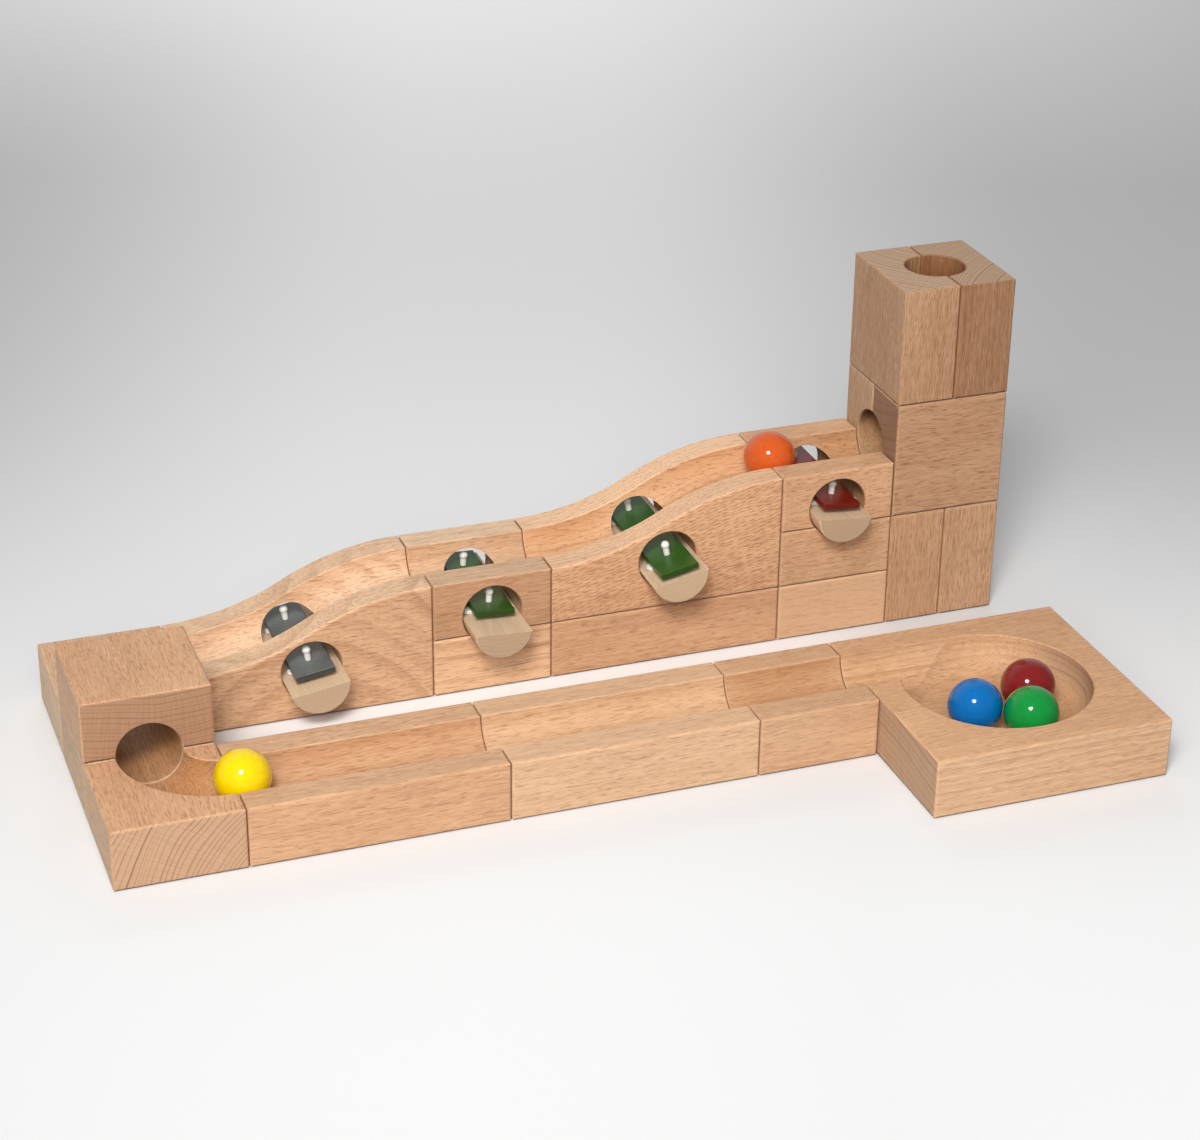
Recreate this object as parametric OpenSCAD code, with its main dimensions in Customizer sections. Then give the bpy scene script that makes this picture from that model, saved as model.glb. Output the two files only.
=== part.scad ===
// Musical marble run laid out from loose beech blocks: a drop tower, a stepped back row with
// four chime inserts, a tunnel on the left, a flat front row and a catch basin with marbles.
// Blocks sit on a square grid; x runs along the rows, y to the back row, z up, millimetres.

/* [Blocks] */
// Plan size of one grid cell
unit = 60; // [54:1:72]
// Height of one block
layer = 30; // [27:1:38]
// Gap between neighbouring blocks
seam = 0.4; // [0.1:0.1:0.8]
// Rounding of the block edges
edge_r = 1.3; // [0.6:0.1:2.5]

/* [Grooves] */
// Diameter of the marble groove
groove_d = 30; // [28:0.5:34]
// Bevel where a groove or a hole meets a face
lip = 0.6; // [0.3:0.1:1.2]

/* [Catch basin] */
// Diameter of the bowl at its rim
bowl_d = 90; // [80:1:96]
// Depth of the bowl
bowl_depth = 20; // [18:0.5:23]
// Rounding between the floor and the wall of the bowl
bowl_fillet = 18; // [14:0.5:18]

/* [Chime holes] */
// Play of the dowels in their cross holes
dowel_play = 1; // [0.8:0.1:2]
// Depth of a hole's axis under the groove rim
hole_drop = 20; // [19:0.5:22]

/* [Chime inserts] */
// Diameter of the half-round dowels
dowel_d = 29; // [27:0.1:29.2]
// Length of the half-round dowels
dowel_len = 90; // [88:1:96]
// Height of the dowel's axis over its flat
flat_drop = 1.7; // [0.5:0.1:4]
// Width of the chime plates
plate_w = 19.6; // [16:0.1:21]
// Thickness of the chime plates
plate_t = 3; // [2:0.1:3.6]
// Edge rounding of the chime plates
plate_edge = 0.5; // [0.2:0.1:0.9]
// Thickness of the felt strips
felt_t = 2.6; // [1.5:0.1:3.2]
// Length of the felt strips
felt_len = 22; // [20:0.5:26]
// Width of the felt strips
felt_w = 5; // [4.5:0.5:8]
// Shaft diameter of the retaining pins
pin_d = 3.2; // [2.5:0.1:3.6]
// Head diameter of the retaining pins
pin_head_d = 4.2; // [4:0.1:6]
// Free height under a pin's head
pin_rise = 2.9; // [2.2:0.1:3.5]
// Depth of the pins in the dowels
pin_depth = 7; // [4:0.5:9]

/* [Low ramp chime] */
// Length of the plate
low_ramp_plate_len = 72; // [60:0.5:92]
// Stand-out of the plate in front of the block
low_ramp_plate_out = 8.5; // [2:0.5:18]
// Distance from the plate's front end to its front pin
low_ramp_front_pin = 14; // [10:0.5:20]
// Distance from the plate's rear end to its rear pin
low_ramp_rear_pin = 14; // [10:0.5:20]
// Stand-out of the dowel in front of the block
low_ramp_out = 16.5; // [10:0.5:20]
// Slope of the plate
low_ramp_tilt = 9; // [0:0.5:15]

/* [Low flat chime] */
// Length of the plate
low_flat_plate_len = 67.5; // [60:0.5:92]
// Stand-out of the plate in front of the block
low_flat_plate_out = 3.5; // [2:0.5:18]
// Distance from the plate's front end to its front pin
low_flat_front_pin = 11; // [10:0.5:20]
// Distance from the plate's rear end to its rear pin
low_flat_rear_pin = 15; // [10:0.5:20]
// Stand-out of the dowel in front of the block
low_flat_out = 18; // [10:0.5:20]
// Turn of the insert in its hole
low_flat_tilt = -3; // [-6:0.5:6]

/* [High ramp chime] */
// Length of the plate
high_ramp_plate_len = 88.5; // [60:0.5:92]
// Stand-out of the plate in front of the block
high_ramp_plate_out = 17.5; // [2:0.5:18]
// Distance from the plate's front end to its front pin
high_ramp_front_pin = 17.5; // [10:0.5:20]
// Distance from the plate's rear end to its rear pin
high_ramp_rear_pin = 17.5; // [10:0.5:20]
// Stand-out of the dowel in front of the block
high_ramp_out = 18; // [10:0.5:20]
// Slope of the plate
high_ramp_tilt = 12; // [0:0.5:15]

/* [High flat chime] */
// Length of the plate
high_flat_plate_len = 75.5; // [60:0.5:92]
// Stand-out of the plate in front of the block
high_flat_plate_out = 4.5; // [2:0.5:18]
// Distance from the plate's front end to its front pin
high_flat_front_pin = 14; // [10:0.5:20]
// Distance from the plate's rear end to its rear pin
high_flat_rear_pin = 15; // [10:0.5:20]
// Stand-out of the dowel in front of the block
high_flat_out = 10.5; // [10:0.5:20]
// Turn of the insert in its hole
high_flat_tilt = -5; // [-6:0.5:6]

/* [Marbles] */
// Diameter of the marbles
marble_d = 26; // [22:0.5:27]
// Clearance of a marble to what it rests on
marble_gap = 0.3; // [0.1:0.1:0.5]
// Place of the yellow marble past the corner block
yellow_past = 5; // [0:0.5:20]
// Place of the orange marble past the top of the high ramp
orange_past = 5; // [0:0.5:8]
// Distance of the green marble from the bowl's middle
green_out = 24; // [16:0.5:26]
// Bearing of the green marble from the bowl's middle
green_bearing = -74; // [-90:1:-60]
// Bearing of the blue marble from the green one
blue_bearing = 146; // [130:1:160]
// Bearing of the red marble from the green one
red_bearing = 66; // [50:1:80]

/* [Hidden] */
$fn = 96;
groove_r = groove_d / 2;
hole_r = (dowel_d + dowel_play) / 2;
bowl_r = bowl_d / 2;
dowel_r = dowel_d / 2;
marble_r = marble_d / 2;
half = unit / 2;
grid_long = 8;
grid_front = 1;
grid_rear = 3;
least_out = min(low_ramp_out, low_flat_out, high_ramp_out, high_flat_out);
rear_out = dowel_len - unit - least_out;
inset = seam / 2;
origin_shift = [-grid_long * unit / 2, -((grid_rear - grid_front) * unit + rear_out + inset) / 2, 0];
flat_gap = [inset, inset, 0];
past = 1;

// S-curve of the ramps: two equal arcs that meet at mid run
ramp_run = 2 * unit;
ramp_rise = layer;
curve_r = (pow(ramp_run, 2) + pow(ramp_rise, 2)) / (4 * ramp_rise);
curve_angle = asin(ramp_run / 2 / curve_r);
curve_lead = 2;
air_h = 2 * layer;

// Stack of a chime insert, measured from the hole's axis
plate_z = felt_t - flat_drop;
plate_top = plate_z + plate_t;
pin_slip = 0.1;
plate_slip = 0.6;
dowel_ease = 0.6;
head_r = pin_head_d / 2;

wood = [0.83, 0.66, 0.5];
pale_wood = [0.84, 0.72, 0.56];
slate = [0.3, 0.32, 0.32];
moss = [0.2, 0.37, 0.17];
brick = [0.45, 0.12, 0.09];
cream = [0.94, 0.93, 0.88];

// A grid place: cells along x and y, layers up
module at(cell_x, cell_y, layers) {
    translate(origin_shift + [cell_x * unit, cell_y * unit, layers * layer])
        children();
}

// Rectangle with round corners
module soft_square(w, d, r) {
    translate([r, 0])
        square([w - 2 * r, d]);
    translate([0, r])
        square([w, d - 2 * r]);
    for (x = [r, w - r], y = [r, d - r])
        translate([x, y])
            circle(r = r);
}

// Box with all edges round
module soft_box(size, r) {
    intersection() {
        linear_extrude(size.z)
            soft_square(size.x, size.y, r);
        translate([0, size.y, 0])
            rotate([90, 0, 0])
                linear_extrude(size.y)
                    soft_square(size.x, size.z, r);
        rotate([90, 0, 90])
            linear_extrude(size.x)
                soft_square(size.y, size.z, r);
    }
}

// Plain block that fills its cells less the seam
module block(w, d, h, gap = flat_gap) {
    translate(gap)
        soft_box([w, d, h] - 2 * gap, edge_r);
}

// Section of a groove with bevelled lips; the second axis points up
module groove_section() {
    circle(r = groove_r);
    polygon([[-groove_r - lip, 0], [-groove_r, -lip], [groove_r, -lip], [groove_r + lip, 0],
        [groove_r + lip, lip], [-groove_r - lip, lip]]);
}

// Bevel round a groove or hole mouth, opening against +z
module mouth(r, inward = 0) {
    translate([0, 0, inward - past])
        cylinder(h = past + 2 * lip, r1 = r + lip + past, r2 = r - lip);
}

// Straight groove along x with bevelled ends
module groove_cut(length, from = 0, to = 0) {
    translate([-past, 0, 0])
        rotate([90, 0, 90])
            linear_extrude(length + 2 * past)
                groove_section();
    rotate([0, 90, 0])
        mouth(groove_r, from);
    translate([length, 0, 0])
        rotate([0, -90, 0])
            mouth(groove_r, to);
}

// Gutter block along x, groove on top
module gutter(length, gap = flat_gap) {
    difference() {
        block(length, unit, layer, gap);
        translate([0, half, layer])
            groove_cut(length, gap.x, gap.x);
    }
}

// Quarter-turn block: the groove joins the faces at far x and far y
module bend(gap = flat_gap) {
    difference() {
        block(unit, unit, layer, gap);
        translate([unit, unit, layer])
            rotate([0, 0, 180 - curve_lead])
                rotate_extrude(angle = 90 + 2 * curve_lead)
                    translate([half, 0])
                        groove_section();
        translate([unit, half, layer])
            rotate([0, -90, 0])
                mouth(groove_r, gap.x);
        translate([half, unit, layer])
            rotate([90, 0, 0])
                mouth(groove_r, gap.y);
    }
}

// Cross hole along y through one cell, with bevelled mouths
module cross_hole() {
    translate([0, -past, 0])
        rotate([-90, 0, 0])
            cylinder(h = unit + 2 * past, r = hole_r);
    rotate([-90, 0, 0])
        mouth(hole_r, inset);
    translate([0, unit, 0])
        rotate([90, 0, 0])
            mouth(hole_r, inset);
}

// One-cell gutter that carries a chime
module chime_gutter() {
    difference() {
        gutter(unit);
        translate([half, 0, layer - hole_drop])
            cross_hole();
    }
}

// Base block with the dip for the dowel of the gutter above it
module chime_base() {
    difference() {
        block(unit, unit, layer);
        translate([half, 0, 2 * layer - hole_drop])
            cross_hole();
    }
}

// Section of the air over a ramp: first axis up, second axis across
module ramp_air() {
    translate([0, -unit])
        square([air_h, 2 * unit]);
    rotate([0, 0, -90])
        groove_section();
    for (side = [0, 1])
        mirror([0, side])
            difference() {
                translate([-edge_r, half - inset - edge_r])
                    square([2 * edge_r, 2 * edge_r]);
                translate([-edge_r, half - inset - edge_r])
                    circle(r = edge_r);
            }
}

// Ramp block: groove and rims follow the S-curve up by one layer
module ramp() {
    difference() {
        block(ramp_run, unit, layer + ramp_rise);
        translate([0, half, layer + curve_r])
            rotate([90, 0, 0])
                rotate_extrude(angle = curve_angle + curve_lead, start = 270 - curve_lead)
                    translate([curve_r, 0])
                        mirror([1, 0])
                            ramp_air();
        translate([ramp_run, half, layer + ramp_rise - curve_r])
            rotate([90, 0, 0])
                rotate_extrude(angle = curve_angle + curve_lead, start = 90 - curve_lead)
                    translate([curve_r, 0])
                        ramp_air();
        translate([0, half, layer])
            rotate([0, 90, 0])
                mouth(groove_r, inset);
        translate([ramp_run, half, layer + ramp_rise])
            rotate([0, -90, 0])
                mouth(groove_r, inset);
        translate([ramp_run / 2, 0, layer + ramp_rise / 2 - hole_drop])
            cross_hole();
    }
}

// Bowl void, its rim at z = 0
module bowl() {
    rotate_extrude() {
        translate([0, -bowl_depth])
            square([bowl_r - bowl_fillet, bowl_depth + past]);
        translate([0, bowl_fillet - bowl_depth])
            square([bowl_r, bowl_depth - bowl_fillet + past]);
        translate([bowl_r - bowl_fillet, bowl_fillet - bowl_depth])
            circle(r = bowl_fillet);
        polygon([[bowl_r, -lip], [bowl_r + lip, 0], [bowl_r + lip, past], [0, past], [0, -lip]]);
    }
}

// Catch basin: four cells, the groove runs in along the rear edge of the bowl
module basin() {
    difference() {
        block(2 * unit, 2 * unit, layer);
        translate([unit, unit, layer])
            bowl();
        translate([0, unit + half, layer]) {
            translate([-past, 0, 0])
                rotate([90, 0, 90])
                    linear_extrude(unit + past)
                        groove_section();
            rotate([0, 90, 0])
                mouth(groove_r, inset);
        }
    }
}

// A chime's own frame: the hole axis at the rear face of its cell, turned by the slope
module chime_at(cell_x, layers, across, drop, tilt) {
    at(cell_x, grid_rear, layers)
        translate([across, 0, layer - drop])
            rotate([0, -tilt, 0])
                children();
}

module low_ramp_place() {
    chime_at(1, 0, ramp_run / 2, hole_drop - ramp_rise / 2, low_ramp_tilt)
        children();
}

module low_flat_place() {
    chime_at(3, 1, half, hole_drop, low_flat_tilt)
        children();
}

module high_ramp_place() {
    chime_at(4, 1, ramp_run / 2, hole_drop - ramp_rise / 2, high_ramp_tilt)
        children();
}

module high_flat_place() {
    chime_at(6, 2, half, hole_drop, high_flat_tilt)
        children();
}

// Distances of the two pins in front of the block's rear face
function pin_places(length, plate_out, front_pin, rear_pin) =
    [unit + plate_out - length + rear_pin, unit + plate_out - front_pin];

// Half-round dowel with blind holes for the pins
module dowel(out, pins) {
    color(pale_wood)
        translate([0, -unit - out, 0])
            difference() {
                rotate([-90, 0, 0]) {
                    cylinder(h = dowel_ease, r1 = dowel_r - dowel_ease, r2 = dowel_r);
                    translate([0, 0, dowel_ease])
                        cylinder(h = dowel_len - 2 * dowel_ease, r = dowel_r);
                    translate([0, 0, dowel_len - dowel_ease])
                        cylinder(h = dowel_ease, r1 = dowel_r, r2 = dowel_r - dowel_ease);
                }
                translate([-dowel_d, -past, -flat_drop])
                    cube([2 * dowel_d, dowel_len + 2 * past, dowel_d]);
                for (y = pins)
                    translate([0, unit + out - y, -flat_drop - pin_depth])
                        cylinder(h = pin_depth + past, d = pin_d + pin_slip);
            }
}

// Tuned plate with clearance holes for the pins
module plate(length, plate_out, pins, paint) {
    color(paint)
        difference() {
            translate([-plate_w / 2, -unit - plate_out, plate_z])
                soft_box([plate_w, length, plate_t], plate_edge);
            for (y = pins)
                translate([0, -y, plate_z - past])
                    cylinder(h = plate_t + 2 * past, d = pin_d + plate_slip);
        }
}

// Felt strips across the dowel's flat, one round each pin
module felts(pins) {
    color(cream)
        for (y = pins)
            translate([0, -y, -flat_drop])
                linear_extrude(felt_t)
                    difference() {
                        union() {
                            square([felt_len - felt_w, felt_w], center = true);
                            for (x = [-1, 1] * (felt_len - felt_w) / 2)
                                translate([x, 0])
                                    circle(d = felt_w);
                        }
                        circle(d = pin_d + pin_slip);
                    }
}

// Round-headed pins that keep the plate in place
module pins_of(pins) {
    color(cream)
        for (y = pins)
            translate([0, -y, 0]) {
                translate([0, 0, -flat_drop - pin_depth])
                    cylinder(h = flat_drop + pin_depth + plate_top + pin_rise + head_r / 2, d = pin_d);
                translate([0, 0, plate_top + pin_rise + head_r])
                    sphere(r = head_r);
            }
}

module marble(paint) {
    color(paint)
        sphere(r = marble_r);
}

// Height of a marble's middle over a groove's rim
groove_seat = marble_r + marble_gap - groove_r;

// Places in the bowl, from its middle
function bearing(angle, reach) = [reach * cos(angle), reach * sin(angle), 0];
bowl_seat = marble_r + marble_gap - bowl_depth;
green_place = bearing(green_bearing, green_out) + [0, 0, bowl_seat];
marble_pitch = marble_d + marble_gap;
blue_place = green_place + bearing(blue_bearing, marble_pitch);
red_place = green_place + bearing(red_bearing, marble_pitch);

module bowl_place(place) {
    at(7, 0, 1)
        translate(place)
            children();
}

low_ramp_pins_at = pin_places(low_ramp_plate_len, low_ramp_plate_out,
    low_ramp_front_pin, low_ramp_rear_pin);
low_flat_pins_at = pin_places(low_flat_plate_len, low_flat_plate_out,
    low_flat_front_pin, low_flat_rear_pin);
high_ramp_pins_at = pin_places(high_ramp_plate_len, high_ramp_plate_out,
    high_ramp_front_pin, high_ramp_rear_pin);
high_flat_pins_at = pin_places(high_flat_plate_len, high_flat_plate_out,
    high_flat_front_pin, high_flat_rear_pin);

// Front row
module front_corner() {
    color(wood)
        at(0, 0, 0)
            bend();
}

module front_gutter_a() {
    color(wood)
        at(1, 0, 0)
            gutter(2 * unit);
}

module front_gutter_b() {
    color(wood)
        at(3, 0, 0)
            gutter(2 * unit);
}

module front_gutter_short() {
    color(wood)
        at(5, 0, 0)
            gutter(unit);
}

module catch_basin() {
    color(wood)
        at(6, -1, 0)
            basin();
}

// Left column
module tunnel_floor() {
    color(wood)
        at(1, 1, 0)
            rotate([0, 0, 90])
                gutter(unit);
}

module tunnel_cap() {
    color(wood)
        at(0, 1, 2)
            rotate([180, 0, 90])
                gutter(unit);
}

module rear_corner() {
    color(wood)
        at(0, 3, 0)
            rotate([0, 0, -90])
                bend();
}

// Back row
module low_ramp() {
    color(wood)
        at(1, 2, 0)
            ramp();
}

module low_flat() {
    color(wood)
        at(3, 2, 1)
            chime_gutter();
}

module low_base() {
    color(wood)
        at(3, 2, 0)
            chime_base();
}

module high_ramp() {
    color(wood)
        at(4, 2, 1)
            ramp();
}

module long_base() {
    color(wood)
        at(4, 2, 0)
            block(2 * unit, unit, layer);
}

module high_flat() {
    color(wood)
        at(6, 2, 2)
            chime_gutter();
}

module upper_base() {
    color(wood)
        at(6, 2, 1)
            chime_base();
}

module lower_base() {
    color(wood)
        at(6, 2, 0)
            block(unit, unit, layer);
}

// Drop tower: feet, elbow and tube, each of two blocks stood on edge
foot_gap = [inset, inset, 0];
elbow_front_gap = [inset, 0, inset];
elbow_rear_gap = [0, inset, inset];
tube_gap = [0, inset, inset];

module tower_foot_left() {
    color(wood)
        at(7, 2, 0)
            block(half, unit, 2 * layer, foot_gap);
}

module tower_foot_right() {
    color(wood)
        at(7.5, 2, 0)
            block(half, unit, 2 * layer, foot_gap);
}

module drop_front() {
    color(wood)
        at(8, 2, 2)
            rotate([90, 0, 180])
                bend(elbow_front_gap);
}

module drop_rear() {
    color(wood)
        at(8, 3, 2)
            rotate([90, -90, 0])
                bend(elbow_rear_gap);
}

module tube_left() {
    color(wood)
        at(7, 3, 4)
            rotate([0, 90, 0])
                rotate([0, 0, 180])
                    gutter(unit, tube_gap);
}

module tube_right() {
    color(wood)
        at(8, 2, 4)
            rotate([0, -90, 0])
                gutter(unit, tube_gap);
}

// Chime inserts
module low_ramp_dowel() {
    low_ramp_place()
        dowel(low_ramp_out, low_ramp_pins_at);
}

module low_ramp_plate() {
    low_ramp_place()
        plate(low_ramp_plate_len, low_ramp_plate_out, low_ramp_pins_at, slate);
}

module low_ramp_felts() {
    low_ramp_place()
        felts(low_ramp_pins_at);
}

module low_ramp_pins() {
    low_ramp_place()
        pins_of(low_ramp_pins_at);
}

module low_flat_dowel() {
    low_flat_place()
        dowel(low_flat_out, low_flat_pins_at);
}

module low_flat_plate() {
    low_flat_place()
        plate(low_flat_plate_len, low_flat_plate_out, low_flat_pins_at, moss);
}

module low_flat_felts() {
    low_flat_place()
        felts(low_flat_pins_at);
}

module low_flat_pins() {
    low_flat_place()
        pins_of(low_flat_pins_at);
}

module high_ramp_dowel() {
    high_ramp_place()
        dowel(high_ramp_out, high_ramp_pins_at);
}

module high_ramp_plate() {
    high_ramp_place()
        plate(high_ramp_plate_len, high_ramp_plate_out, high_ramp_pins_at, moss);
}

module high_ramp_felts() {
    high_ramp_place()
        felts(high_ramp_pins_at);
}

module high_ramp_pins() {
    high_ramp_place()
        pins_of(high_ramp_pins_at);
}

module high_flat_dowel() {
    high_flat_place()
        dowel(high_flat_out, high_flat_pins_at);
}

module high_flat_plate() {
    high_flat_place()
        plate(high_flat_plate_len, high_flat_plate_out, high_flat_pins_at, brick);
}

module high_flat_felts() {
    high_flat_place()
        felts(high_flat_pins_at);
}

module high_flat_pins() {
    high_flat_place()
        pins_of(high_flat_pins_at);
}

// Marbles
module marble_yellow() {
    at(1, 0, 1)
        translate([yellow_past, half, groove_seat])
            marble([1, 0.86, 0]);
}

module marble_orange() {
    at(6, 2, 3)
        translate([orange_past, half, groove_seat])
            marble([0.9, 0.35, 0.1]);
}

module marble_blue() {
    bowl_place(blue_place)
        marble([0, 0.4, 0.7]);
}

module marble_green() {
    bowl_place(green_place)
        marble([0.05, 0.6, 0.22]);
}

module marble_red() {
    bowl_place(red_place)
        marble([0.55, 0.1, 0.1]);
}

front_corner();
front_gutter_a();
front_gutter_b();
front_gutter_short();
catch_basin();
tunnel_floor();
tunnel_cap();
rear_corner();
low_ramp();
low_flat();
low_base();
high_ramp();
long_base();
high_flat();
upper_base();
lower_base();
tower_foot_left();
tower_foot_right();
drop_front();
drop_rear();
tube_left();
tube_right();
low_ramp_dowel();
low_ramp_plate();
low_ramp_felts();
low_ramp_pins();
low_flat_dowel();
low_flat_plate();
low_flat_felts();
low_flat_pins();
high_ramp_dowel();
high_ramp_plate();
high_ramp_felts();
high_ramp_pins();
high_flat_dowel();
high_flat_plate();
high_flat_felts();
high_flat_pins();
marble_yellow();
marble_orange();
marble_blue();
marble_green();
marble_red();
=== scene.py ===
import math
import bpy
from mathutils import Matrix, Vector


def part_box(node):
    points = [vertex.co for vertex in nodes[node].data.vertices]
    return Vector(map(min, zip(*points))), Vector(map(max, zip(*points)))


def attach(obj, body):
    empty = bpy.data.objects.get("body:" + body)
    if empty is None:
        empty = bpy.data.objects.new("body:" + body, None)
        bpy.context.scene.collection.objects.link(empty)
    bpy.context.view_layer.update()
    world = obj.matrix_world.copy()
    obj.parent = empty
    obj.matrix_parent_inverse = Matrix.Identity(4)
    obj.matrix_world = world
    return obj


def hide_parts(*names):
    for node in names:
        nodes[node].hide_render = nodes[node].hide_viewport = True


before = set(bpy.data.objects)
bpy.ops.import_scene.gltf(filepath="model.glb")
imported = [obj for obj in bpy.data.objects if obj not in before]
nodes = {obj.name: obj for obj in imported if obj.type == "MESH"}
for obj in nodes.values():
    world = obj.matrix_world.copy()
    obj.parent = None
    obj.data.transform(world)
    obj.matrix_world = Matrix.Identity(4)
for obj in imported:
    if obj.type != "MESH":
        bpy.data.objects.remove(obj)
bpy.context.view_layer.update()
print("frame loaded,", len(nodes), "nodes")

# camera, solved from the block corners in the photograph
cameraSet = {
    "place": (-0.39258, -1.08455, 0.66420),
    "azimuth": -20.183,
    "elevation": 26.7302,
    "roll": 0.7229,
    "lens": 83.725,
    "sensor": 36,
}


def makeCamera():
    azimuth, elevation, roll = (math.radians(cameraSet[k]) for k in ("azimuth", "elevation", "roll"))
    level = math.cos(elevation)
    back = Vector((math.sin(azimuth) * level, -math.cos(azimuth) * level, math.sin(elevation)))
    right = Vector((0, 0, 1)).cross(back).normalized()
    up = back.cross(right)
    rolledRight = right * math.cos(roll) + up * math.sin(roll)
    rolledUp = up * math.cos(roll) - right * math.sin(roll)
    data = bpy.data.cameras.new("photoCamera")
    data.sensor_fit = "HORIZONTAL"
    data.sensor_width = cameraSet["sensor"]
    data.lens = cameraSet["lens"]
    camera = bpy.data.objects.new("photoCamera", data)
    bpy.context.scene.collection.objects.link(camera)
    turn = Matrix((rolledRight, rolledUp, back)).transposed().to_4x4()
    camera.matrix_world = Matrix.Translation(cameraSet["place"]) @ turn
    bpy.context.scene.camera = camera


makeCamera()
print("camera set")


# shorthands for wiring node trees
def wire(tree, socket, value):
    if isinstance(value, bpy.types.NodeSocket):
        tree.links.new(value, socket)
    else:
        socket.default_value = value


def doMath(tree, operation, *values, clamp=False):
    node = tree.nodes.new("ShaderNodeMath")
    node.operation = operation
    node.use_clamp = clamp
    for socket, value in zip(node.inputs, values):
        wire(tree, socket, value)
    return node.outputs[0]


def addUp(tree, *values):
    total = values[0]
    for value in values[1:]:
        total = doMath(tree, "ADD", total, value)
    return total


def times(tree, *values):
    total = values[0]
    for value in values[1:]:
        total = doMath(tree, "MULTIPLY", total, value)
    return total


def doVector(tree, operation, *values):
    node = tree.nodes.new("ShaderNodeVectorMath")
    node.operation = operation
    for socket, value in zip(node.inputs, values):
        wire(tree, socket, value)
    return node.outputs["Value" if operation in ("LENGTH", "DOT_PRODUCT") else "Vector"]


def scaleVector(tree, vector, factor):
    node = tree.nodes.new("ShaderNodeVectorMath")
    node.operation = "SCALE"
    wire(tree, node.inputs[0], vector)
    wire(tree, node.inputs["Scale"], factor)
    return node.outputs["Vector"]


def split(tree, vector):
    node = tree.nodes.new("ShaderNodeSeparateXYZ")
    wire(tree, node.inputs[0], vector)
    return node.outputs


def combine(tree, x, y, z):
    node = tree.nodes.new("ShaderNodeCombineXYZ")
    for socket, value in zip(node.inputs, (x, y, z)):
        wire(tree, socket, value)
    return node.outputs[0]


def makeNoise(tree, vector, scale=1.0, detail=2.0, rough=0.5, output="Fac"):
    node = tree.nodes.new("ShaderNodeTexNoise")
    wire(tree, node.inputs["Vector"], vector)
    wire(tree, node.inputs["Scale"], scale)
    wire(tree, node.inputs["Detail"], detail)
    wire(tree, node.inputs["Roughness"], rough)
    return node.outputs[output]


# noise drawn out along the grain: stretch is its fineness each way
def makeFibres(tree, place, stretch, detail, rough, output="Fac"):
    return makeNoise(tree, doVector(tree, "MULTIPLY", place, stretch), 1.0, detail, rough, output)


def makeRange(tree, value, low, high, toLow=0.0, toHigh=1.0, smooth=False):
    node = tree.nodes.new("ShaderNodeMapRange")
    node.interpolation_type = "SMOOTHSTEP" if smooth else "LINEAR"
    numbers = {"Value": value, "From Min": low, "From Max": high, "To Min": toLow, "To Max": toHigh}
    for name, number in numbers.items():
        wire(tree, node.inputs[name], number)
    return node.outputs["Result"]


# most of a noise lies within this span
noiseSpan = (0.3, 0.7)


def fromNoise(tree, noise, toLow=0.0, toHigh=1.0):
    return makeRange(tree, noise, *noiseSpan, toLow, toHigh)


def makeHump(tree, value, rise, fall):
    up = makeRange(tree, value, *rise, smooth=True)
    return times(tree, up, makeRange(tree, value, *fall, 1.0, 0.0, smooth=True))


def mixColor(tree, factor, first, second, blend="MIX", clamp=True):
    node = tree.nodes.new("ShaderNodeMix")
    node.clamp_factor = clamp
    node.data_type = "RGBA"
    node.blend_type = blend
    wire(tree, node.inputs["Factor"], factor)
    wire(tree, node.inputs[6], first)
    wire(tree, node.inputs[7], second)
    return node.outputs[2]


def makeBump(tree, shader, height, strength, distance):
    node = tree.nodes.new("ShaderNodeBump")
    node.inputs["Strength"].default_value = strength
    node.inputs["Distance"].default_value = distance
    wire(tree, node.inputs["Height"], height)
    wire(tree, shader.inputs["Normal"], node.outputs["Normal"])


# a place or a direction seen from a frame of its own, in millimetres or as a plain turn
def seenFrom(tree, vector, turn, place=(0, 0, 0), scale=1.0):
    node = tree.nodes.new("ShaderNodeMapping")
    node.vector_type = "TEXTURE"
    node.inputs["Location"].default_value = place
    node.inputs["Rotation"].default_value = turn
    node.inputs["Scale"].default_value = (scale, scale, scale)
    wire(tree, node.inputs["Vector"], vector)
    return node.outputs["Vector"]


def newMaterial(name):
    material = bpy.data.materials.new(name)
    material.use_nodes = True
    tree = material.node_tree
    return material, tree, tree.nodes["Principled BSDF"], tree.nodes.new("ShaderNodeTexCoord").outputs


def dress(piece, material):
    piece.data.materials.clear()
    piece.data.materials.append(material)


millimetre = 0.001

# solid beech in the log's own frame: x runs along the grain, y goes out from the pith, in millimetres
grainSet = {
    "pale": (0.72, 0.455, 0.27, 1),
    "deep": (0.42, 0.215, 0.11, 1),
    "line": (0.3, 0.145, 0.072, 1),
    "endPale": (0.62, 0.405, 0.255, 1),
    "endLine": (0.31, 0.175, 0.105, 1),
    "blush": (1.03, 0.93, 0.87, 1),
    # the last three are painted colours: shade for grooves, sheen for rims and left sides, deeper shade for
    # holes
    "hollowShade": (0.83, 0.73, 0.61, 1),
    "rim": (1.09, 1.23, 1.36, 1),
    "boreShade": (0.6, 0.52, 0.46, 1),
}
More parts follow.
